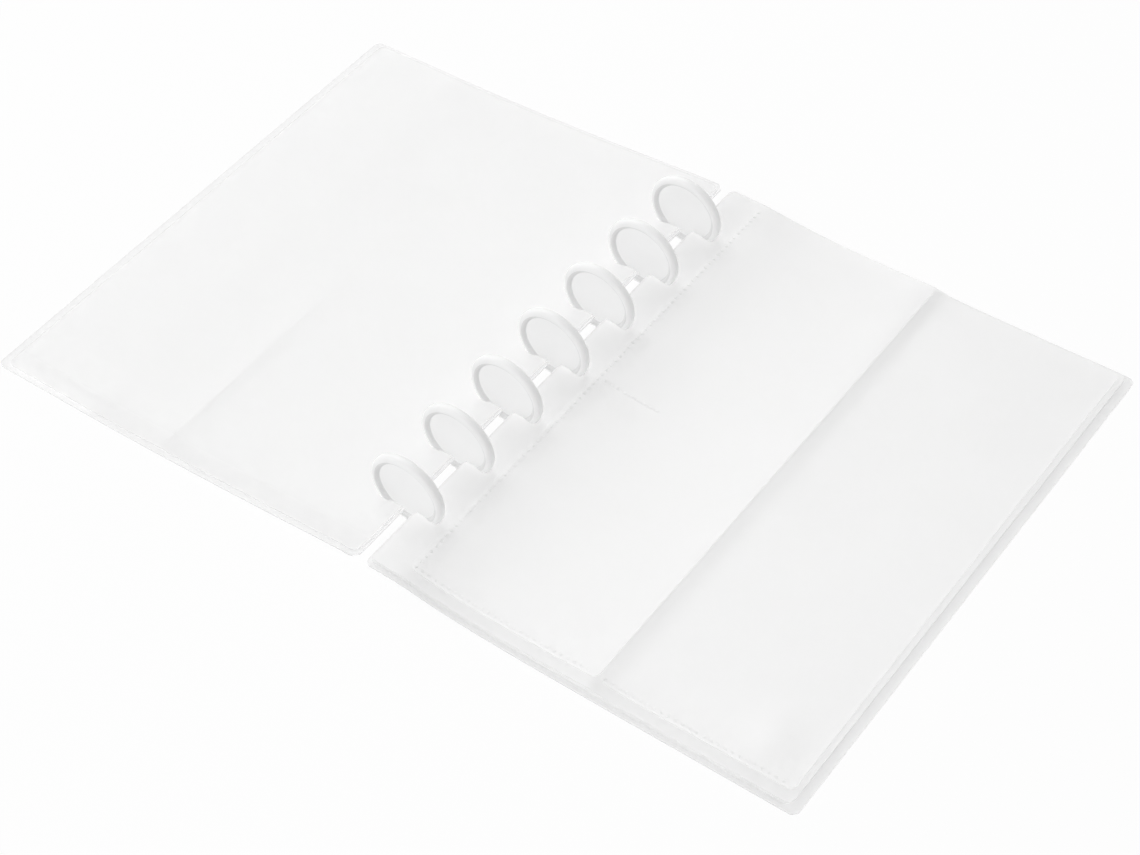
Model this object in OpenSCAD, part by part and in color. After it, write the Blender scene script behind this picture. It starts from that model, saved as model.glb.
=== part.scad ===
// Disc-bound photo album, lying open on a table.
// Origin: on the table under the middle of the spine.
// +X runs across the right-hand leaves, +Y along the spine, +Z up. Millimetres.

/* [Binding discs] */
// Outer diameter of a disc
disc_d = 28; // [24:0.5:36]
// Width of the thick rim, along the spine
rim_w = 3.5; // [3.2:0.1:4.5]
// Depth of the thick rim, from its outer to its inner edge
rim_h = 3; // [2.4:0.1:3.4]
// Thickness of the web inside the rim
web_t = 1.2; // [0.8:0.1:1.5]
// Radius of the fillet between web and rim
web_fillet = 0.5; // [0.2:0.1:0.6]
// Distance from one disc to the next
disc_pitch = 25.4; // [20:0.1:30]

/* [Slots] */
// Width of the narrow neck that passes the web
neck_w = 2.6; // [2.2:0.1:2.8]
// Length of the neck, from the leaf's edge to the wide head
neck_l = 3.8; // [1.5:0.1:4.5]
// Room beside the rim in the head of a slot
slot_side = 0.45; // [0.3:0.05:0.8]
// Room before and behind the rim in the head of a slot
slot_end = 0.3; // [0.3:0.05:0.8]
// Corner radius of the slot's head
slot_r = 1.4; // [0.5:0.1:1.8]
// How far inside the rim's inner edge the lowest leaf passes the discs
leaf_lift = 2; // [0.8:0.1:2.5]

/* [Covers] */
// Width of a cover, from its spine edge to its outer edge
cover_w = 157.8; // [120:0.1:200]
// Height of a cover, along the spine
cover_h = 203.2; // [190:0.1:260]
// Thickness of a cover
cover_t = 0.5; // [0.4:0.05:1]
// Corner radius of a cover
cover_r = 2.5; // [2:0.5:12]
// Distance of the crease from the cover's spine edge
crease_x = 24; // [16:0.5:40]
// Width of the crease
crease_w = 1.2; // [0.6:0.1:2]
// Depth of the crease in the cover's outer face
crease_d = 0.15; // [0.05:0.05:0.3]

/* [Pages] */
// Width of a page, from its spine edge to its outer edge
page_w = 153.6; // [110:0.1:196]
// Height of a page, along the spine
page_h = 200; // [180:0.1:256]
// Thickness of the slotted page sheet
sheet_t = 0.2; // [0.15:0.01:0.4]
// Corner radius of a page
page_r = 2.5; // [2:0.5:12]
// Air between one leaf and the next
leaf_gap = 0.12; // [0.1:0.01:0.4]

/* [Pockets] */
// Thickness of the pocket film
film_t = 0.16; // [0.12:0.01:0.3]
// Room for photos between the page sheet and the pocket film
pocket_gap = 0.2; // [0.1:0.01:0.5]
// Width of the weld seams
weld_w = 3; // [1.5:0.1:5]
// Distance of the inner film from the page's spine edge
inner_film_x = 12.1; // [12:0.1:25]
// Width of the inner film, from its seam to its mouth
inner_film_w = 70.5; // [50:0.1:90]
// Width of the outer film, from its seam to its mouth
outer_film_w = 68; // [20:0.1:70]
// Distance between the inner film's mouth and the outer film
column_gap = 1; // [0.5:0.1:4]
// Bare strip of page along the near edge
near_margin = 4; // [1:0.1:12]
// Bare strip of page along the far edge
far_margin = 1; // [1:0.1:12]
// Corner radius of the pocket film at its mouth
film_r = 2.5; // [0.5:0.1:5]

/* [Hidden] */
$fn = 96;

disc_count = 7;
// Overshoot of a cutting tool past the faces that it cuts
cut = 1;
// How far the web's fillet runs into the rim
fillet_bite = 0.03;

// The rim's outer and inner edge, and the circle half-way between them
rim_out = disc_d / 2;
rim_in = rim_out - rim_h;
rim_mid = rim_out - rim_h / 2;
// The discs stand on the table, so their common axis is one radius up
axis_z = rim_out;

// Leaves are placed by their level, the distance of the lower face below the disc axis
cover_level = rim_in - leaf_lift;
page_t = sheet_t + pocket_gap + film_t;

// Where a plane at a given distance from the axis meets a circle about that axis
function reach(radius, level) = sqrt(radius * radius - level * level);

// Middle of the rim, as crossed by a sheet whose lower face is at this level
function rim_x(level, thickness) = reach(rim_mid, level - thickness / 2);

// The deepest leaf is crossed at the flattest angle, so its crossing sets the one punch for all leaves
head_in = rim_x(cover_level, cover_t) - reach(rim_in, cover_level) + slot_end;
head_out = reach(rim_out, cover_level - cover_t) - rim_x(cover_level, cover_t) + slot_end;
head_w = rim_w + 2 * slot_side;
// From a leaf's spine edge to the middle of the rim
slot_x = neck_l + head_in;

// Spine edge of a leaf, by the level of its lower face
function edge_x(level, thickness) = rim_x(level, thickness) - slot_x;

cover_x = edge_x(cover_level, cover_t);
cover_out = cover_x + cover_w;
// Leaves slope down from the discs until the covers' outer edges lie on the table
slope = asin(axis_z / norm([cover_out, cover_level])) - atan2(cover_level, cover_out);

// Level of the underside of the nth page above a cover
function page_level(n) = cover_level - cover_t - n * leaf_gap - (n - 1) * page_t;

film_h = page_h - near_margin - far_margin;
film_y = (near_margin - far_margin) / 2;
outer_film_x = inner_film_x + inner_film_w + column_gap;

disc_colour = [0.92, 0.92, 0.93];
cover_colour = [0.93, 0.93, 0.94];
sheet_colour = [0.95, 0.95, 0.96];
film_colour = [0.96, 0.96, 0.97];

// Rectangle from x = 0 to w, centred on y = 0, with round corners
module rounded_sheet(w, h, r) {
    translate([r, -h / 2]) square([w - 2 * r, h]);
    translate([0, r - h / 2]) square([w, h - 2 * r]);
    for (x = [r, w - r], y = [r - h / 2, h / 2 - r])
        translate([x, y]) circle(r);
}

// One mushroom-shaped slot, open at the leaf's spine edge
module mushroom() {
    translate([-cut, -neck_w / 2]) square([cut + slot_x, neck_w]);
    translate([slot_x - head_in, 0]) rounded_sheet(head_in + head_out, head_w, slot_r);
}

// Outline of a leaf punched for the discs
module leaf_outline(w, h, r) {
    difference() {
        rounded_sheet(w, h, r);
        for (i = [1 : disc_count])
            translate([0, disc_y(i)]) mushroom();
    }
}

function disc_y(i) = (i - (disc_count + 1) / 2) * disc_pitch;

// Half section of a disc: a web that swells into a bead-shaped rim
module disc_section() {
    bead_r = rim_h / 2;
    bead_y = rim_w / 2 - bead_r;
    fillet_y = web_t / 2 + web_fillet;
    fillet_x = rim_mid - reach(bead_r + web_fillet - fillet_bite, fillet_y - bead_y);
    difference() {
        polygon([
            [0, -web_t / 2], [fillet_x, -web_t / 2], [fillet_x, -fillet_y], [rim_mid, -bead_y],
            [rim_mid, bead_y], [fillet_x, fillet_y], [fillet_x, web_t / 2], [0, web_t / 2],
        ]);
        for (side = [-1, 1])
            translate([fillet_x, side * fillet_y]) circle(web_fillet);
    }
    translate([rim_mid - bead_r, -bead_y]) square([rim_h, 2 * bead_y]);
    for (side = [-1, 1])
        translate([rim_mid, side * bead_y]) circle(bead_r);
}

// Disc number i, counted from the near end of the spine
module disc(i) {
    color(disc_colour)
        translate([0, disc_y(i), axis_z])
            rotate([90, 0, 0])
                rotate_extrude() disc_section();
}

// Moves a flat leaf from the disc axis to its sloping place on the right
module lay_right() {
    translate([0, 0, axis_z]) rotate([0, slope, 0]) children();
}

// Cover on the right, its crease in the face that lies on the table
module cover() {
    color(cover_colour)
        lay_right() translate([cover_x, 0, -cover_level])
            difference() {
                linear_extrude(cover_t) leaf_outline(cover_w, cover_h, cover_r);
                translate([crease_x - crease_w / 2, -cover_h / 2 - cut, -cut])
                    cube([crease_w, cover_h + 2 * cut, cut + crease_d]);
            }
}

module back_cover() { cover(); }

module front_cover() { rotate([0, 0, 180]) cover(); }

// Slotted base film of a page, lower face at z = 0
module page_sheet() {
    color(sheet_colour) linear_extrude(sheet_t) leaf_outline(page_w, page_h, page_r);
}

// Pocket film of one column: it rises off the page over two pockets that are open at the mouth,
// and is pressed down to the page along its seams, on three sides and across the middle
module pocket_film(x, w) {
    room_w = w - weld_w + cut;
    room_h = (film_h - 3 * weld_w) / 2;
    press_w = weld_w - film_t;
    press_h = pocket_gap + cut;
    color(film_colour)
        translate([x, film_y, sheet_t])
            difference() {
                linear_extrude(pocket_gap + film_t) rounded_sheet(w, film_h, film_r);
                for (side = [-1, 1]) {
                    translate([weld_w, side * (room_h + weld_w) / 2 - room_h / 2, -cut])
                        cube([room_w, room_h, cut + pocket_gap]);
                    translate([-cut, side * film_h / 2 - press_w, film_t])
                        cube([w + 2 * cut, 2 * press_w, press_h]);
                }
                translate([-cut, film_t - weld_w / 2, film_t])
                    cube([w + 2 * cut, weld_w - 2 * film_t, press_h]);
                translate([-cut, -film_h / 2, film_t])
                    cube([cut + press_w, film_h, press_h]);
            }
}

module inner_pockets() { pocket_film(inner_film_x, inner_film_w); }

module outer_pockets() { pocket_film(outer_film_x, outer_film_w); }

// Lays a page as the nth leaf above the back cover, pockets up
module on_right(n) {
    level = page_level(n);
    lay_right() translate([edge_x(level, sheet_t), 0, -level]) children();
}

// Lays a turned page as the nth leaf above the front cover, pockets down
module on_left(n) {
    level = page_level(n) - page_t + sheet_t;
    translate([0, 0, axis_z]) rotate([0, -slope, 0])
        translate([-edge_x(level, sheet_t), 0, sheet_t - level])
            rotate([0, 180, 0]) children();
}

disc(1);  // disc_1
disc(2);  // disc_2
disc(3);  // disc_3
disc(4);  // disc_4
disc(5);  // disc_5
disc(6);  // disc_6
disc(7);  // disc_7
front_cover();
back_cover();
on_left(1) page_sheet();  // page_1_sheet
on_left(1) inner_pockets();  // page_1_inner_pockets
on_left(1) outer_pockets();  // page_1_outer_pockets
on_right(3) page_sheet();  // page_2_sheet
on_right(3) inner_pockets();  // page_2_inner_pockets
on_right(3) outer_pockets();  // page_2_outer_pockets
on_right(2) page_sheet();  // page_3_sheet
on_right(2) inner_pockets();  // page_3_inner_pockets
on_right(2) outer_pockets();  // page_3_outer_pockets
on_right(1) page_sheet();  // page_4_sheet
on_right(1) inner_pockets();  // page_4_inner_pockets
on_right(1) outer_pockets();  // page_4_outer_pockets
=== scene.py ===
# %% [markdown]
# # An open photo album, bound on discs
# The real album is milky see-through plastic: seven discs along the spine, two stiff covers, and
# pages whose film pockets hold the photos. The solids come packed from the CAD model, in metres,
# with the spine along Y and the table at z = 0. A scene could be modelled freely and scaled by eye
# afterwards, but loading the solids as a fixed frame keeps every piece at its true place.

# %% Load the frame
import math

import bpy
from mathutils import Matrix, Vector


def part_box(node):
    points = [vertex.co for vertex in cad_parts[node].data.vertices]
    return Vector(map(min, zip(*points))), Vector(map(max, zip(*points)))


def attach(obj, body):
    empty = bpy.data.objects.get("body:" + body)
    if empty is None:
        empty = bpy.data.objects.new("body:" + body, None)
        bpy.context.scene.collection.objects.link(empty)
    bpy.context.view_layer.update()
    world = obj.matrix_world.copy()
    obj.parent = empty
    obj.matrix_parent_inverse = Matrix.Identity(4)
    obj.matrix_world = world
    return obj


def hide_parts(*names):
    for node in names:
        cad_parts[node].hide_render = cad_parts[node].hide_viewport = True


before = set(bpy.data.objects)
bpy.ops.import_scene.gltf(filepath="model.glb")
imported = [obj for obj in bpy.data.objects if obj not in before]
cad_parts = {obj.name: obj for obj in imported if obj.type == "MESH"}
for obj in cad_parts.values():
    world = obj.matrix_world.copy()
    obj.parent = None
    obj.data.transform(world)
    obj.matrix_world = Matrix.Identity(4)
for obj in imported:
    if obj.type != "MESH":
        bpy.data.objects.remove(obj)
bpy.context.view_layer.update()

MM = 0.001

# %% [markdown]
# ## The camera
# The photo looks down on the album from the right of the spine with a long lens. A camera can be
# dragged about until the picture looks alike, but here the disc pitch gives a known length, so its
# angles, distance and lens were worked out from the discs and the corners of the leaves.

# %% Camera
AZIMUTH = math.radians(39.45)
ELEVATION = math.radians(47.68)
ROLL = math.radians(-4.20)
DISTANCE = 799.0 * MM
LENS_MM = 77.7
SENSOR_MM = 36.0
LOOKED_AT = Vector((18.3, -17.1, 0.0)) * MM

backwards = Vector((
    math.sin(AZIMUTH) * math.cos(ELEVATION),
    -math.cos(AZIMUTH) * math.cos(ELEVATION),
    math.sin(ELEVATION),
))
level_right = Vector((math.cos(AZIMUTH), math.sin(AZIMUTH), 0.0))
level_up = backwards.cross(level_right)
rolled_right = level_right * math.cos(ROLL) + level_up * math.sin(ROLL)
camera_turn = Matrix((rolled_right, backwards.cross(rolled_right), backwards)).transposed()

bpy.ops.object.select_all(action="DESELECT")
bpy.ops.object.camera_add(
    location=LOOKED_AT + backwards * DISTANCE, rotation=camera_turn.to_euler(),
)
camera = bpy.context.object
camera.data.lens = LENS_MM
camera.data.sensor_width = SENSOR_MM
bpy.context.scene.camera = camera
print("camera at", [round(c, 3) for c in camera.location])

# %% [markdown]
# ## Nodes in a few words
# Every material and the white ground are node trees. Each node could be made, set and linked in
# three lines of its own; one small helper does the three at once, so that a tree reads from its
# inputs to its output like a sentence.

# %% A helper for shader nodes
def put(tree, kind, sockets=None, **settings):
    """Adds a node, sets its properties, and fills or links its input sockets by name or number."""
    made = tree.nodes.new(kind)
    for name, value in settings.items():
        setattr(made, name, value)
    for name, value in (sockets or {}).items():
        if isinstance(value, bpy.types.NodeSocket):
            tree.links.new(value, made.inputs[name])
        else:
            made.inputs[name].default_value = value
    return made


def gray(value):
    """A neutral colour, as a colour socket takes it."""
    return (value, value, value, 1.0)


def new_tree(owner):
    """The node tree of a new material or world, emptied."""
    owner.use_nodes = True
    owner.node_tree.nodes.clear()
    return owner.node_tree


def sees_ground(tree):
    """1 for the rays that show the ground: from the camera, mirrored or through glass."""
    path = put(tree, "ShaderNodeLightPath")
    seen = put(tree, "ShaderNodeMath", {
        0: path.outputs["Is Camera Ray"], 1: path.outputs["Is Glossy Ray"],
    }, operation="MAXIMUM")
    return put(tree, "ShaderNodeMath", {
        0: seen.outputs[0], 1: path.outputs["Is Transmission Ray"],
    }, operation="MAXIMUM").outputs[0]


WHITE = gray(1.0)
print("node helpers:", ", ".join(h.__name__ for h in (put, gray, new_tree, sees_ground)))

# %% [markdown]
# ## White ground and soft light
# The photo has a pure white ground with hardly a shadow. Flooding the floor with light would burn
# out the pale plastic too. Instead the floor is a matt white sheet that also glows a little for the
# rays that see it, so it is white in the picture, still takes the album's shadow, and lights the
# album no more than a white table does.

# %% Floor and world
FLOOR_SIZE = 8.0
FLOOR_DROP = 0.15 * MM
FLOOR_SHADE = 0.95
FLOOR_GLOW = 0.90
WORLD_LEFT, WORLD_RIGHT = 0.46, 0.40
WORLD_SPAN = 0.8

bpy.ops.object.select_all(action="DESELECT")
bpy.ops.mesh.primitive_plane_add(size=FLOOR_SIZE, location=(0, 0, -FLOOR_DROP))
floor = bpy.context.object
floor.name = "floor"

floor_white = bpy.data.materials.new("white ground")
tree = new_tree(floor_white)
glow_share = put(tree, "ShaderNodeMath", {
    0: sees_ground(tree), 1: FLOOR_GLOW,
}, operation="MULTIPLY")
matt = put(tree, "ShaderNodeBsdfDiffuse", {"Color": gray(FLOOR_SHADE)})
glow = put(tree, "ShaderNodeEmission", {"Color": WHITE, "Strength": 1.0})
both = put(tree, "ShaderNodeMixShader", {
    0: glow_share.outputs[0], 1: matt.outputs[0], 2: glow.outputs[0],
})
put(tree, "ShaderNodeOutputMaterial", {"Surface": both.outputs[0]})
floor.data.materials.append(floor_white)

studio = bpy.data.worlds.new("studio")
bpy.context.scene.world = studio
tree = new_tree(studio)
looking = put(tree, "ShaderNodeTexCoord").outputs["Generated"]
side = put(tree, "ShaderNodeSeparateXYZ", {0: looking})
sky = put(tree, "ShaderNodeMapRange", {
    "Value": side.outputs["X"], "From Min": -WORLD_SPAN, "From Max": WORLD_SPAN,
    "To Min": WORLD_LEFT, "To Max": WORLD_RIGHT,
})
dim = put(tree, "ShaderNodeBackground", {"Color": WHITE, "Strength": sky.outputs["Result"]})
white = put(tree, "ShaderNodeBackground", {"Color": WHITE, "Strength": 1.0})
both = put(tree, "ShaderNodeMixShader", {
    0: sees_ground(tree), 1: dim.outputs[0], 2: white.outputs[0],
})
put(tree, "ShaderNodeOutputWorld", {"Surface": both.outputs[0]})
bpy.context.scene.view_settings.view_transform = "Standard"
print("floor", FLOOR_SIZE, "m wide, world light", WORLD_LEFT, "to", WORLD_RIGHT)

# %% [markdown]
# ## The lamps
# In the photo the sides that face right are darker, so the main light is a large soft box high on
# the left and somewhat behind, where flat film also mirrors it towards the camera. A weak second
# box near the camera keeps the discs' near faces pale. A sun lamp would give hard edges here.

# %% Lamps
LAMPS = {
    "soft box": {"towards": (-0.62, 0.40, 0.68), "away": 3.0, "size": 2.6, "watts": 46.0},
    "near fill": {"towards": (-0.20, -0.75, 0.62), "away": 3.0, "size": 2.2, "watts": 33.0},
}
for name, lamp in LAMPS.items():
    towards = Vector(lamp["towards"]).normalized()
    bpy.ops.object.select_all(action="DESELECT")
    bpy.ops.object.light_add(
        type="AREA", location=towards * lamp["away"],
        rotation=towards.to_track_quat("Z", "Y").to_euler(),
    )
    light = bpy.context.object
    light.name = name
    light.data.size = lamp["size"]
    light.data.energy = lamp["watts"]
    print(name, "at", [round(c, 2) for c in light.location])

# %% [markdown]
# ## Frosting, shared by all the plastic
# Frosted film is never even: a fine grain breaks up its shine, cloudy patches lie where it was
# pressed or handled, and faint rubs run across it. All the finishes of the album share this, so it
# is one node group with its own scales. Painting it on pictures would tie it to one view and one
# size of film.

# %% The frosting group
CLOUD_FROM, CLOUD_TO = 0.33, 0.67
RUB_TURN = 0.7
RUB_SCALE = (60.0, 1500.0, 60.0)
RUB_FROM, RUB_TO = 0.62, 0.72

frosting = bpy.data.node_groups.new("frosting", "ShaderNodeTree")
for name, kind in (("Place", "Vector"), ("Grain Scale", "Float"), ("Cloud Scale", "Float")):
    frosting.interface.new_socket(name, in_out="INPUT", socket_type=f"NodeSocket{kind}")
for name in ("Grain", "Cloud", "Rub"):
    frosting.interface.new_socket(name, in_out="OUTPUT", socket_type="NodeSocketFloat")

given = put(frosting, "NodeGroupInput")
grain = put(frosting, "ShaderNodeTexNoise", {
    "Vector": given.outputs["Place"], "Scale": given.outputs["Grain Scale"], "Detail": 2.0,
})
cloud = put(frosting, "ShaderNodeTexNoise", {
    "Vector": given.outputs["Place"], "Scale": given.outputs["Cloud Scale"],
    "Detail": 3.0, "Distortion": 0.4,
})
cloud_mask = put(frosting, "ShaderNodeMapRange", {
    "Value": cloud.outputs["Fac"], "From Min": CLOUD_FROM, "From Max": CLOUD_TO,
}, interpolation_type="SMOOTHSTEP")
along_rub = put(frosting, "ShaderNodeMapping", {
    "Vector": given.outputs["Place"], "Rotation": (0.0, 0.0, RUB_TURN), "Scale": RUB_SCALE,
})
rub = put(frosting, "ShaderNodeTexNoise", {
    "Vector": along_rub.outputs[0], "Scale": 1.0, "Detail": 1.0,
})
rub_mask = put(frosting, "ShaderNodeMapRange", {
    "Value": rub.outputs["Fac"], "From Min": RUB_FROM, "From Max": RUB_TO,
})
put(frosting, "NodeGroupOutput", {
    "Grain": grain.outputs["Fac"], "Cloud": cloud_mask.outputs["Result"],
    "Rub": rub_mask.outputs["Result"],
})
print("frosting group with", len(frosting.nodes), "nodes")

# %% [markdown]
# ## The plastics
# Film can be made with a transmission shader, which bends and blurs the light but goes dark and
# noisy through a stack of fourteen faces. Here each face is partly open instead: a pale skin that
# covers part of what lies behind it. Two faces make a sheet, so a stack grows denser with each
# leaf, as the real one does. Milky film also hands most of the light on to the leaves below, so
# for the rays that carry light it is nearly clear, and the stack stays pale. The discs pass on
# less, and shade the film beside them. Light that wanders inside the plastic leaves it at the
# discs and the cut edges, most of all at those on the right, away from the lamp, and a weak
# painted glow stands in for that: painted light, brightest on the right-hand edges. The photo
# shows the back of a page duller than its pocket side, and its near margin duller still, so these
# have finishes of their own.

# %% Plastic finishes
PASSES = 0.985
SATIN = (0.36, 0.42)
FILM_GRAIN, PAGE_GRAIN = (2600.0, 0.02 * MM), (2200.0, 0.03 * MM)
CLOUDS = 28.0
RUB_DULL = 0.06
GRAIN_STRENGTH = 0.25
PLASTIC_IOR = 1.49


def plastic(name, shade, opacity, glow=0.0, gloss=SATIN, grain=FILM_GRAIN,
            clouds=CLOUDS, passes=PASSES):
    """A milky plastic: shade and gloss in clear and cloudy patches, grain as (per metre, depth)."""
    made = bpy.data.materials.new(name)
    tree = new_tree(made)
    place = put(tree, "ShaderNodeTexCoord").outputs["Object"]
    frost = put(tree, "ShaderNodeGroup", node_tree=frosting)
    tree.links.new(place, frost.inputs["Place"])
    frost.inputs["Grain Scale"].default_value = grain[0]
    frost.inputs["Cloud Scale"].default_value = clouds
    colour = put(tree, "ShaderNodeMix", {
        "Factor": frost.outputs["Cloud"], 6: gray(shade[0]), 7: gray(shade[1]),
    }, data_type="RGBA")
    dull = put(tree, "ShaderNodeMapRange", {
        "Value": frost.outputs["Cloud"], "To Min": gloss[0], "To Max": gloss[1],
    })
    rubbed = put(tree, "ShaderNodeMath", {
        0: frost.outputs["Rub"], 1: RUB_DULL, 2: dull.outputs["Result"],
    }, operation="MULTIPLY_ADD")
    bump = put(tree, "ShaderNodeBump", {
        "Height": frost.outputs["Grain"], "Strength": GRAIN_STRENGTH, "Distance": grain[1],
    })
    # Emission Strength is a painted glow, which stands in for light wandering inside the plastic.
    skin = put(tree, "ShaderNodeBsdfPrincipled", {
        "Base Color": colour.outputs[2], "Roughness": rubbed.outputs[0], "Normal": bump.outputs[0],
        "Alpha": opacity, "IOR": PLASTIC_IOR, "Emission Color": WHITE, "Emission Strength": glow,
    })
    path = put(tree, "ShaderNodeLightPath")
    clear = put(tree, "ShaderNodeBsdfTransparent", {"Color": gray(passes)})
    surface = put(tree, "ShaderNodeMixShader", {
        0: path.outputs["Is Shadow Ray"], 1: skin.outputs[0], 2: clear.outputs[0],
    })
    put(tree, "ShaderNodeOutputMaterial", {"Surface": surface.outputs[0]})
    return made


moulded = {"gloss": (0.42, 0.48), "grain": (900.0, 0.03 * MM), "clouds": 60.0, "passes": 0.90}
stiff = {"gloss": (0.40, 0.46), "grain": (1800.0, 0.04 * MM)}
shiny = {"gloss": (0.34, 0.40), "clouds": 22.0}

# The glow numbers of the disc and edge finishes below are painted light.
disc_milk = plastic("milky disc", (0.66, 0.68), 0.90, 0.24, **moulded)
# Painted shade: a darker finish for the inner wall of each disc rim.
disc_wall_shade_painted = plastic("disc wall, painted shade", (0.70, 0.72), 0.90, 0.06, **moulded)
cover_frost = plastic("frosted cover", (0.88, 0.89), 0.78, **stiff)
cover_edge = plastic("cover edge", (0.60, 0.63), 0.95, 0.20)
page_frost = plastic("frosted page", (0.955, 0.965), 0.55, grain=PAGE_GRAIN)
page_back = plastic("page back", (0.815, 0.825), 0.55, grain=PAGE_GRAIN)
# The near margin of a page's back is simply darker than the rest of the back.
page_dull_margin = plastic("dull near margin", (0.79, 0.81), 0.58, grain=PAGE_GRAIN)
film_gloss = plastic("pocket film", (0.94, 0.95), 0.55, **shiny)
film_edge = plastic("film edge", (0.62, 0.64), 0.95, 0.22)
# Painted light: the cut edges that face right, away from the lamp, are lighter and glow more.
glow_painted_edge = plastic("edge with painted glow", (0.74, 0.76), 0.95, 0.30)
slot_edge = plastic("slot edge", (0.62, 0.64), 0.80, 0.14)
weld_gloss = plastic("welded film", (0.82, 0.85), 0.70)
print("finishes:", ", ".join(m.name for m in bpy.data.materials if m.users == 0))

# %% [markdown]
# ## How the leaves lie
# In CAD each leaf is a flat plate that slopes from the discs to the table. The real sheets are
# soft: they come away from the discs, bend down and lie flat. The bending is written once, as the
# height of a cover's lower face at a distance from the spine, and every leaf of that side follows
# it. The strip that the discs hold keeps its CAD place, so that the rims stay in their slots.

# %% Height of a leaf above the table
RIGHT_HELD, LEFT_HELD = 13.5 * MM, 10.0 * MM
EASE = 3.0 * MM
RIGHT_REACH = 20.0 * MM
LEFT_REACH = 100.0 * MM
LEFT_POWER = 1.6
COVER_T = 0.5 * MM

cover_low, cover_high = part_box("back_cover")
SLOPE = (cover_high.z - COVER_T) / (cover_high.x - cover_low.x)


def cad_height(x):
    """Lower face of the flat CAD cover, at x from the spine."""
    return (cover_high.x - abs(x)) * SLOPE


def lying_height(x):
    """Lower face of the soft cover as it lies on the table, at x from the spine."""
    held = RIGHT_HELD if x > 0 else LEFT_HELD
    past = max(abs(x) - held, 0.0)
    past = math.hypot(past, EASE) - EASE
    if past == 0.0:
        return cad_height(x)
    if x > 0:
        return cad_height(held) * math.exp(-past / RIGHT_REACH)
    return cad_height(held) * max(1.0 - past / LEFT_REACH, 0.0) ** LEFT_POWER


TRIED = (5, 20, 40, 80)
print("height in mm at", TRIED, "mm:", [round(lying_height(x * MM) / MM, 2) for x in TRIED])

# %% [markdown]
# ## Bending with a lattice
# A lattice is a cage of points. A mesh inside it follows the points smoothly, whatever its own
# faces are, so the same cage shape bends a sheet, its pockets and its welds alike. The mesh needs
# enough cells to follow: bisect cuts it along straight lines, which leaves the outline and the
# slots as they are.

# %% Cutting and bending helpers
SHADE_ANGLE = math.radians(35)
FACING = 0.5
SLOTS_END = 20.0 * MM
MARGIN = Vector((2.0, 3.0, 4.0)) * MM
CAGE = (90, 50)
FACE, EDGE, SLOT, GLOW_PAINTED, BACK, DULL_MARGIN = range(6)


def pick(piece):
    """Makes this piece the only selected one, and the active one."""
    bpy.ops.object.select_all(action="DESELECT")
    piece.select_set(True)
    bpy.context.view_layer.objects.active = piece


def cut_across(piece, axis, places):
    """Cuts the whole mesh at each of these places along an axis."""
    pick(piece)
    bpy.ops.object.mode_set(mode="EDIT")
    normal = [0.0, 0.0, 0.0]
    normal[axis] = 1.0
    for place in places:
        bpy.ops.mesh.select_all(action="SELECT")
        bpy.ops.mesh.bisect(plane_co=[n * place for n in normal], plane_no=normal)
    bpy.ops.object.mode_set(mode="OBJECT")


def steps(start, end, width):
    """Evenly spaced places between two ends, about that far apart, without the ends."""
    count = max(round((end - start) / width), 1)
    return [start + (end - start) * i / count for i in range(1, count)]


def bend(piece, low, high, lift):
    """Raises each point of a piece by lift(x, y), with a lattice around the box low to high."""
    low, high = low - MARGIN, high + MARGIN
    size, middle = high - low, (high + low) / 2
    bpy.ops.object.select_all(action="DESELECT")
    bpy.ops.object.add(type="LATTICE", location=middle)
    cage = bpy.context.object
    cage.scale = size
    cage.data.points_u, cage.data.points_v, cage.data.points_w = (*CAGE, 2)
    for direction in "uvw":
        setattr(cage.data, f"interpolation_type_{direction}", "KEY_CATMULL_ROM")
    for point in cage.data.points:
        x, y = middle.x + point.co.x * size.x, middle.y + point.co.y * size.y
        point.co_deform.z += lift(x, y) / size.z
    bpy.context.view_layer.update()
    pick(piece)
    piece.modifiers.new("bend", "LATTICE").object = cage
    bpy.ops.object.modifier_apply(modifier="bend")
    bpy.data.objects.remove(cage)


def dress(piece, skins, chosen, body, nodes):
    """Gives a piece its finishes, one for each face as chosen, and ties it to the frame."""
    piece.data.materials.clear()
    for skin in skins:
        piece.data.materials.append(skin)
    for face in piece.data.polygons:
        face.material_index = chosen(face)
    pick(piece)
    bpy.ops.object.shade_smooth_by_angle(angle=SHADE_ANGLE)
    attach(piece, body)
    if nodes:
        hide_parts(*nodes)


def on_side(face):
    """Tells a sheet's two faces from its cut edges, the right ones with a painted glow, and its
    slots.
    """
    if abs(face.normal.z) > FACING:
        return FACE
    if face.normal.x > FACING:
        return GLOW_PAINTED
    return SLOT if abs(face.center.x) < SLOTS_END else EDGE


def all_alike(face):
    """The same finish for every face."""
    return FACE


print("sheets are shaded smooth up to", round(math.degrees(SHADE_ANGLE)), "degrees")

# %% [markdown]
# ## The discs
# Each disc is a moulded wheel with a thick round rim and a thin web. The CAD solids already have
# that shape to the tenth of a millimetre, so a merged copy serves. In milky plastic the light runs
# along inside the rim and leaves through its outer side, so the inner wall of the rim lies in
# shade:
# the photo shows it as a dark crescent. That shade is painted: the faces of that wall get a darker
# finish of their own, and the rest of the disc a weak painted glow.

# %% Dress the discs
MERGE = 0.002 * MM
DISC_R = 14.0 * MM
RIM_IN, RIM_MID = 10.4 * MM, 12.4 * MM
INWARDS = 0.25


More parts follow.
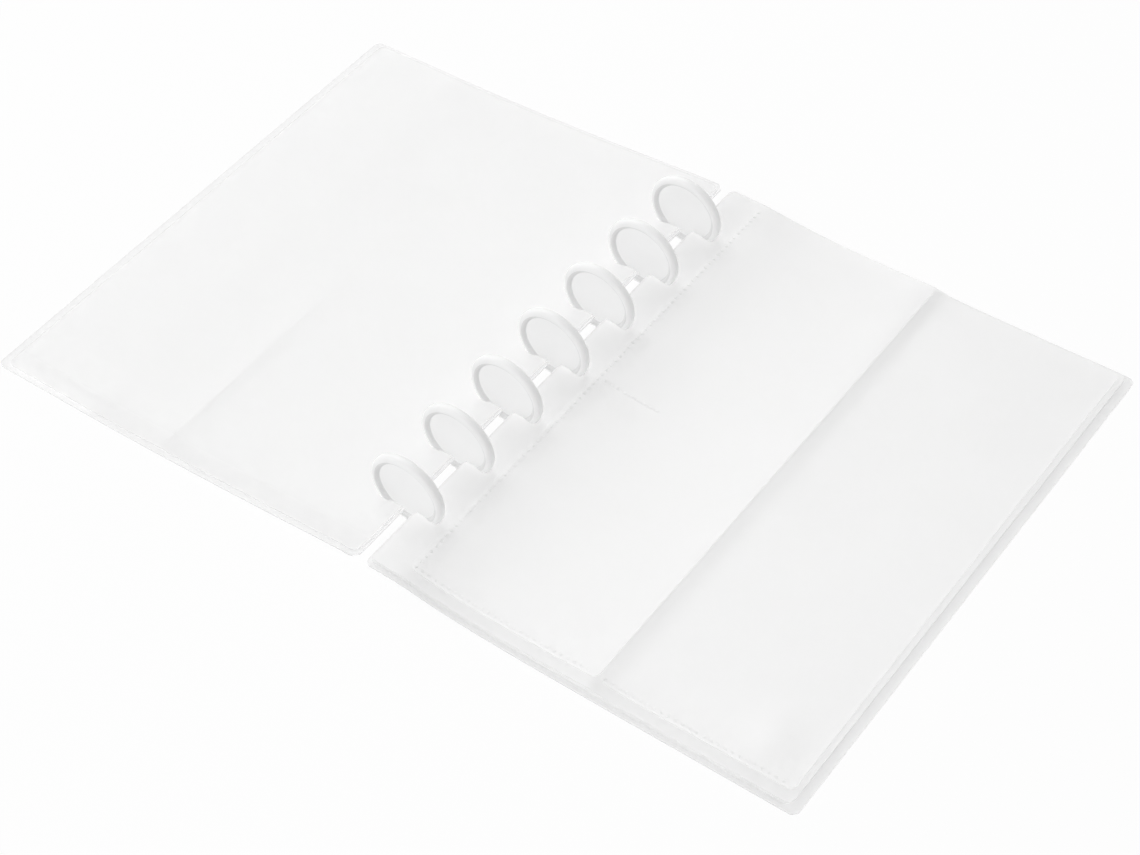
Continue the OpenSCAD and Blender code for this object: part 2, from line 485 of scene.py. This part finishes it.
def merged_copy(node, name):
    """A copy of a CAD node as one connected mesh."""
    piece = bpy.data.objects.new(name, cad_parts[node].data.copy())
    bpy.context.scene.collection.objects.link(piece)
    pick(piece)
    bpy.ops.mesh.customdata_custom_splitnormals_clear()
    bpy.ops.object.mode_set(mode="EDIT")
    bpy.ops.mesh.select_all(action="SELECT")
    bpy.ops.mesh.remove_doubles(threshold=MERGE)
    bpy.ops.object.mode_set(mode="OBJECT")
    return piece


def on_inner_wall(face):
    """1 for the faces of the rim that look towards the disc's axis, which take the painted shade.
    """
    out = Vector((face.center.x, 0.0, face.center.z - DISC_R))
    return int(RIM_IN < out.length < RIM_MID and face.normal.dot(out.normalized()) < -INWARDS)


DISCS = [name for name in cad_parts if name.startswith("disc_")]
for name in DISCS:
    disc = merged_copy(name, f"{name}_milky")
    # The inner wall of the rim takes the painted shade, the rest the milky finish with its painted
    # glow.
    dress(disc, [disc_milk, disc_wall_shade_painted], on_inner_wall, name, [name])
wall_faces = sum(face.material_index for face in disc.data.polygons)
print(len(DISCS), "discs,", wall_faces, "faces of inner wall each")

# %% [markdown]
# ## The slotted sheets
# Covers and page sheets are punched with mushroom-shaped slots that grip the disc rims. The slots
# could be cut again with booleans, but a copy of the CAD sheet has them already. Its flat faces are
# joined up, the ends and sides of the slots are pushed up to the rims, as a stretched slot hugs its
# disc, and the turned leaves' spine edges a little way over the gap, which is narrow in the photo.
# Then the sheet is cut into cells.

# %% Copies of the CAD sheets, ready to bend
FLAT = math.radians(0.4)
SLOT_PLAY = 0.10 * MM
SLOT_END = 1.2 * MM
NECK_HALF, HEAD_HALF = 1.35 * MM, 2.5 * MM
EDGE_FREE = 10.0 * MM
RIM_HALF = 1.75 * MM
SPINE_EDGE, SPINE_OUT = 0.1 * MM, 0.6 * MM
CELL_X = 1.6 * MM
CELL_Y = 8.0 * MM
COARSE_X = 4.0 * MM
COVERS = ("front_cover", "back_cover")
PAGE_CELLS = {"page_1": CELL_X, "page_2": CELL_X, "page_3": COARSE_X, "page_4": COARSE_X}


def push(piece, wanted, operator, **settings):
    """Runs one transform on just these points of a mesh, given by number."""
    for vertex in piece.data.vertices:
        vertex.select = vertex.index in wanted
    bpy.ops.object.mode_set(mode="EDIT")
    operator(**settings)
    bpy.ops.mesh.select_all(action="DESELECT")
    bpy.ops.object.mode_set(mode="OBJECT")


def hug_rims(piece, low, high):
    """Pushes a sheet's slots up to the disc rims, and tells how much play they had."""
    places = [v.co.copy() for v in piece.data.vertices]
    near, far = low.y + EDGE_FREE, high.y - EDGE_FREE
    held = [i for i, p in enumerate(places) if abs(p.x) < SLOTS_END and near < p.y < far]
    slot_end = max(abs(places[i].x) for i in held)
    ends = {i for i in held if abs(places[i].x) > slot_end - SLOT_END}
    level = DISC_R - max(places[i].z for i in ends)
    play = slot_end - math.sqrt(DISC_R ** 2 - level ** 2)
    inwards = math.copysign(play - SLOT_PLAY, -high.x)
    push(piece, ends, bpy.ops.transform.translate, value=(inwards, 0.0, 0.0))
    for name in DISCS:
        middle = sum(corner.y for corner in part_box(name)) / 2
        head = {i for i in held if NECK_HALF < abs(places[i].y - middle) < HEAD_HALF}
        share = (RIM_HALF + SLOT_PLAY) / max(abs(places[i].y - middle) for i in head)
        push(piece, head, bpy.ops.transform.resize,
             value=(1.0, share, 1.0), center_override=(0.0, middle, 0.0))
    if high.x < 0:
        edge = {i for i, p in enumerate(places) if p.x > high.x - SPINE_EDGE}
        push(piece, edge, bpy.ops.transform.translate, value=(SPINE_OUT, 0.0, 0.0))
    return play


def sheet_copy(node, cell_x):
    """A copy of a CAD sheet with close-fitting slots, cut into cells."""
    piece = merged_copy(node, f"{node}_flexed")
    bpy.ops.object.mode_set(mode="EDIT")
    bpy.ops.mesh.dissolve_limited(angle_limit=FLAT)
    bpy.ops.mesh.select_all(action="DESELECT")
    bpy.ops.object.mode_set(mode="OBJECT")
    low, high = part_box(node)
    print(node, "slots had", round(hug_rims(piece, low, high) / MM, 2), "mm of play")
    cut_across(piece, 0, steps(low.x, high.x, cell_x))
    cut_across(piece, 1, steps(low.y, high.y, CELL_Y))
    return piece


covers = {cover: sheet_copy(cover, COARSE_X) for cover in COVERS}
sheets = {page: sheet_copy(f"{page}_sheet", cell) for page, cell in PAGE_CELLS.items()}
print("cells in a page sheet:", len(sheets["page_2"].data.polygons))

# %% [markdown]
# ## The pocket films
# A pocket film is welded to its page along three edges and across the middle, and open at its
# outer edge, the mouth. It starts as a plane with bevelled corners that lies on the page, cut into
# cells, and Solidify gives it the thickness of film. The cage then lifts it off the page between
# the seams. Boxes with a hollow would give walls at the seams, and welded film has none.

# %% A pocket film in the flat
SHEET_T = 0.2 * MM
FILM_T = 0.16 * MM
WELD_GAP = 0.01 * MM
POCKET_GAP = 0.2 * MM
WELD_W = 3.0 * MM
RAMP_W = 9.0 * MM
CORNER_R = 2.5 * MM
CORNER_STEPS = 6
FILM_CELL_Y = 4.0 * MM


def smooth(value, start, end):
    """0 before start, 1 after end, and an even S in between."""
    share = min(max((value - start) / (end - start), 0.0), 1.0)
    return share * share * (3.0 - 2.0 * share)


def pocket_rise(x, y, low, high):
    """0 on the seams of a film and 1 inside its pockets, with its spine side at low.x."""
    middle = (low.y + high.y) / 2
    to_seam = min(y - low.y - WELD_W, abs(y - middle) - WELD_W / 2, high.y - WELD_W - y)
    return smooth(to_seam, 0.0, RAMP_W) * smooth(x - low.x - WELD_W, 0.0, RAMP_W)


def flat_film(name, low, high, face_z, up, cell_x):
    """A film over the area low to high that lies on the page face at face_z; up is 1 or -1."""
    bpy.ops.object.select_all(action="DESELECT")
    bpy.ops.mesh.primitive_plane_add(size=1.0)
    piece = bpy.context.object
    piece.name = name
    bpy.ops.object.mode_set(mode="EDIT")
    bpy.ops.transform.resize(value=(high.x - low.x, high.y - low.y, 1.0))
    bpy.ops.transform.translate(value=((low.x + high.x) / 2, (low.y + high.y) / 2, face_z))
    bpy.ops.mesh.bevel(offset=CORNER_R, segments=CORNER_STEPS, affect="VERTICES")
    if up < 0:
        bpy.ops.mesh.flip_normals()
    bpy.ops.object.mode_set(mode="OBJECT")
    cut_across(piece, 0, steps(low.x, high.x, cell_x))
    cut_across(piece, 1, steps(low.y, high.y, FILM_CELL_Y))
    film = piece.modifiers.new("film", "SOLIDIFY")
    film.thickness = FILM_T
    film.offset = 1.0
    bpy.ops.object.modifier_apply(modifier="film")
    return piece


print("film", FILM_T / MM, "mm thick, pockets", POCKET_GAP / MM, "mm deep")

# %% [markdown]
# ## The welds
# The seams are rows of small fused dots, which show in the photo as a dotted line beside the discs,
# along the near edge and a little way across the middle. A bump map would vanish at this scale, so
# one dot is modelled: a flat pip, half sunk into the film, with a bevelled tip. An Array modifier
# repeats it along each seam.

# %% A row of weld dots
DOT_R = 0.50 * MM
DOT_H = 0.06 * MM
DOT_SIDES = 8
TIP_INSET = 0.20 * MM
TIP_H = 0.03 * MM
DOT_PITCH = 2.5 * MM


def weld_row(start, end):
    """A row of dots from start to end, which are points on the face of a film."""
    run = end - start
    bpy.ops.object.select_all(action="DESELECT")
    bpy.ops.mesh.primitive_cylinder_add(vertices=DOT_SIDES, radius=DOT_R, depth=DOT_H)
    row = bpy.context.object
    for face in row.data.polygons:
        face.select = abs(face.normal.z) > FACING
    for edge in row.data.edges:
        edge.select = False
    for vertex in row.data.vertices:
        vertex.select = False
    bpy.ops.object.mode_set(mode="EDIT")
    bpy.ops.mesh.select_mode(type="FACE")
    bpy.ops.mesh.inset(thickness=TIP_INSET, depth=TIP_H)
    bpy.ops.mesh.select_mode(type="VERT")
    bpy.ops.mesh.select_all(action="SELECT")
    bpy.ops.transform.translate(value=start)
    bpy.ops.object.mode_set(mode="OBJECT")
    array = row.modifiers.new("row", "ARRAY")
    array.use_relative_offset = False
    array.use_constant_offset = True
    array.constant_offset_displace = run.normalized() * DOT_PITCH
    array.count = int(run.length / DOT_PITCH) + 1
    bpy.ops.object.modifier_apply(modifier="row")
    return row


print("a weld dot every", DOT_PITCH / MM, "mm")

# %% [markdown]
# ## One page, whichever way it lies
# A page is a sheet, two pocket films and their welds. All four pages are alike, so they are made by
# the same few helpers: built on the right-hand side, turned over to the left where the page lies
# there, and bent by one cage shape. A turned page has its pockets underneath.

# %% Build and lay a page
COLUMNS = ("inner", "outer")
MIDDLE_RUN = 24.0 * MM


def page_offset(page):
    """Lower face of a page's sheet above the cover's lower face."""
    low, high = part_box(f"{page}_sheet")
    spine = low.x if low.x > 0 else high.x
    return high.z - SHEET_T - cad_height(spine)


def film_area(page, column):
    """The area that a pocket film covers in the flat, as if the page lay on the right."""
    low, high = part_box(f"{page}_{column}_pockets")
    near, far = sorted((abs(low.x), abs(high.x)))
    return Vector((near, low.y, 0.0)), Vector((far, high.y, 0.0))


def page_welds(page, z):
    """The weld rows of a page, joined into one piece; z is the films' outer face at the seams."""
    half = WELD_W / 2
    low, high = film_area(page, "inner")
    spine, near, middle = low.x + half, low.y + half, (low.y + high.y) / 2
    runs = [
        ((spine, near), (spine, high.y - half)),
        ((spine + DOT_PITCH, near), (high.x - CORNER_R, near)),
        ((spine + DOT_PITCH, middle), (spine + MIDDLE_RUN, middle)),
    ]
    low, high = film_area(page, "outer")
    runs.append(((low.x + half, near), (high.x - CORNER_R, near)))
    rows = [weld_row(Vector((*start, z)), Vector((*end, z))) for start, end in runs]
    pick(rows[0])
    for row in rows:
        row.select_set(True)
    bpy.ops.object.join()
    rows[0].name = f"{page}_welds"
    return rows[0]


def to_left(piece):
    """Turns a flat piece over to the left of the spine."""
    pick(piece)
    bpy.ops.object.mode_set(mode="EDIT")
    bpy.ops.mesh.select_all(action="SELECT")
    bpy.ops.transform.resize(value=(-1.0, 1.0, 1.0), center_override=(0.0, 0.0, 0.0))
    bpy.ops.mesh.flip_normals()
    bpy.ops.object.mode_set(mode="OBJECT")


def sheet_skin(near_seam, up):
    """Chooses the finishes of a page's sheet: front, back, near margin of the back, and edges."""
    def chosen(face):
        if on_side(face) != FACE:
            return on_side(face)
        if face.normal.z * up > 0:
            return FACE
        return DULL_MARGIN if face.center.y < near_seam else BACK

    return chosen


def lay_page(page, up, lift, puff):
    """Builds, bends and dresses a page; lift and puff give how far sheet and film rise at x, y."""
    sheet = sheets[page]
    low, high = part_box(f"{page}_sheet")
    near_seam = film_area(page, "inner")[0].y + WELD_W
    cut_across(sheet, 1, [near_seam])
    bend(sheet, low, high, lambda x, y: lying_height(x) - cad_height(x) + lift(x, y))
    skins = [page_frost, film_edge, slot_edge, glow_painted_edge, page_back, page_dull_margin]
    dress(sheet, skins, sheet_skin(near_seam, up), page, [f"{page}_sheet"])
    face_z = page_offset(page) + (SHEET_T + WELD_GAP if up > 0 else -WELD_GAP)
    welds = page_welds(page, face_z + up * FILM_T)
    films = {}
    for column in COLUMNS:
        name, area = f"{page}_{column}_film", film_area(page, column)
        films[column] = flat_film(name, *area, face_z, up, PAGE_CELLS[page])
    if high.x < 0:
        for piece in (welds, *films.values()):
            to_left(piece)
    bend(welds, low, high, lambda x, y: lying_height(x) + lift(x, y))
    dress(welds, [weld_gloss], all_alike, page, [])
    skins = [film_gloss, film_edge, film_edge, glow_painted_edge]
    for column, film in films.items():
        area = film_area(page, column)

        def film_lift(x, y):
            pocket = up * POCKET_GAP * pocket_rise(abs(x), y, *area)
            return lying_height(x) + lift(x, y) + puff(column, x, y) + pocket

        bend(film, low, high, film_lift)
        dress(film, skins, on_side, page, [f"{page}_{column}_pockets"])
    print(page, "laid:", len(sheet.data.polygons), "sheet faces,",
          len(films["inner"].data.polygons), "film faces,", len(welds.data.polygons), "weld faces")


heights = {page: round(page_offset(page) / MM, 2) for page in PAGE_CELLS}
print("sheets above their cover in mm:", heights)

# %% [markdown]
# ## The covers
# The two stiff covers lie under everything else. They are the plainest use of the cage: their own
# bend and nothing more.

# %% Lay the covers
for cover, piece in covers.items():
    low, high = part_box(cover)
    bend(piece, low, high, lambda x, y: lying_height(x) - cad_height(x))
    skins = [cover_frost, cover_edge, slot_edge, glow_painted_edge]
    dress(piece, skins, on_side, cover, [cover])
    print(cover, "laid")

# %% [markdown]
# ## The right-hand stack
# Three pages lie on the back cover. The two lower ones are pressed flat. The top one is free: its
# far edge lifts, its pockets stand slightly open, and it rises to a crest at the mouth of the
# inner pockets. The slope behind the crest turns away from the light, which gives the bright line
# and the soft dark band half-way across the page in the photo. Its near outer corner is a little
# puckered by the seam. Cloth simulation could sag the page, but these few measured shapes are
# easier to steer.

# %% Shapes of the right-hand pages
FAN = {"page_4": 0.06 * MM, "page_3": 0.14 * MM, "page_2": 0.24 * MM}
FAN_FROM, FAN_TO = 115.0 * MM, 158.0 * MM
ARCH = 0.6 * MM
ARCH_FROM, ARCH_TO, ARCH_EASE = 12.0 * MM, 92.0 * MM, 12.0 * MM
ARCH_FAR_FROM, ARCH_FAR_TO = 20.0 * MM, 100.0 * MM
CREST = 1.10 * MM
CREST_BEFORE, CREST_AFTER = 22.0 * MM, 5.0 * MM
FOLD = 0.12 * MM
FOLD_BEFORE, FOLD_AFTER = 2.2 * MM, 4.0 * MM
RIPPLE = 0.05 * MM
FIRST_WAVE, SECOND_WAVE = 0.6, 0.4
RIGHT_WAVES = ((11.0 * MM, 19.0 * MM), (-23.0 * MM, 8.5 * MM))
FLAT_FROM, FLAT_TO = 14.0 * MM, 30.0 * MM
PUCKER = 0.7 * MM
PUCKER_AT, PUCKER_R = Vector((141.0, -84.0)) * MM, 7.0 * MM
LIP = 0.05 * MM
LIP_REACH, LIP_END = 7.0 * MM, 14.0 * MM

mouth_x = film_area("page_2", "inner")[1].x
weld_x = film_area("page_2", "inner")[0].x + WELD_W / 2


def waves(x, y, lengths):
    """Two crossing waves, together from -1 to 1; each has a length along x and one along y."""
    first, second = (x / length_x + y / length_y for length_x, length_y in lengths)
    return FIRST_WAVE * math.sin(first) + SECOND_WAVE * math.sin(second)


def right_lift(page):
    """How far a right-hand page stands off the one below it, as a function of x and y."""
    def fan(x, y):
        return FAN[page] * smooth(x, FAN_FROM, FAN_TO)

    def free(x, y):
        rise = smooth(x, ARCH_FROM, ARCH_FROM + ARCH_EASE)
        fall = 1.0 - smooth(x, ARCH_TO - ARCH_EASE, ARCH_TO)
        arch = ARCH * (rise * fall) * smooth(y, ARCH_FAR_FROM, ARCH_FAR_TO)
        off_mouth = (x - mouth_x) / CREST_BEFORE if x < mouth_x else (mouth_x - x) / CREST_AFTER
        off_weld = (x - weld_x) / (FOLD_BEFORE if x < weld_x else FOLD_AFTER)
        fold = FOLD * math.exp(-off_weld * off_weld)
        off_pucker = (Vector((x, y)) - PUCKER_AT).length_squared / PUCKER_R ** 2
        pucker = PUCKER * math.exp(-off_pucker)
        loose = CREST * math.exp(off_mouth) + RIPPLE * (1.0 + waves(x, y, RIGHT_WAVES))
        return fan(x, y) + fold + pucker + arch + smooth(x, FLAT_FROM, FLAT_TO) * loose

    return free if page == "page_2" else fan


def top_puff(column, x, y):
    """How far the lips of the top page's pockets stand open along their mouths."""
    low, high = film_area("page_2", column)
    from_end = min(y - low.y, high.y - y)
    near_mouth = math.exp(-max(high.x - x, 0.0) / LIP_REACH)
    return LIP * near_mouth * smooth(from_end, WELD_W, LIP_END)


def no_puff(column, x, y):
    """Pockets that the leaves above press flat."""
    return 0.0


print("from the spine in mm: mouth", round(mouth_x / MM, 1), "weld", round(weld_x / MM, 1))

# %% [markdown]
# ## The pages on the right, from the bottom up
# Each page gets the shapes above and its finishes. The order only follows the stack: every page
# finds its own height from the CAD model, so none depends on the one before.

# %% Lay the right-hand pages
for page in ("page_4", "page_3", "page_2"):
    lay_page(page, 1, right_lift(page), top_puff if page == "page_2" else no_puff)

# %% [markdown]
# ## The left-hand leaf
# One turned page lies on the front cover, with its pockets underneath. It is free like the top page
# on the right, but the films lie under the sheet, so it only shows slight waves and a faint crest
# over the pocket mouth.

# %% Lay the turned page
LEFT_FROM, LEFT_TO = 14.0 * MM, 40.0 * MM
LEFT_CREST = 0.55 * MM
LEFT_CREST_OUTER, LEFT_CREST_INNER = 14.0 * MM, 4.0 * MM
FADE_FROM, FADE_TO = -70.0 * MM, 25.0 * MM
LEFT_WAVES = ((17.0 * MM, -26.0 * MM), (math.inf, 12.0 * MM))


def left_lift(x, y):
    """Slight waves, and a crest over the pocket mouth that fades away from the near edge."""
    past = -x - mouth_x
    crest = math.exp(-past / LEFT_CREST_OUTER if past > 0 else past / LEFT_CREST_INNER)
    fade = 1.0 - smooth(y, FADE_FROM, FADE_TO)
    loose = RIPPLE * (1.0 + waves(x, y, LEFT_WAVES)) + LEFT_CREST * crest * fade
    return smooth(-x, LEFT_FROM, LEFT_TO) * loose


lay_page("page_1", -1, left_lift, no_puff)
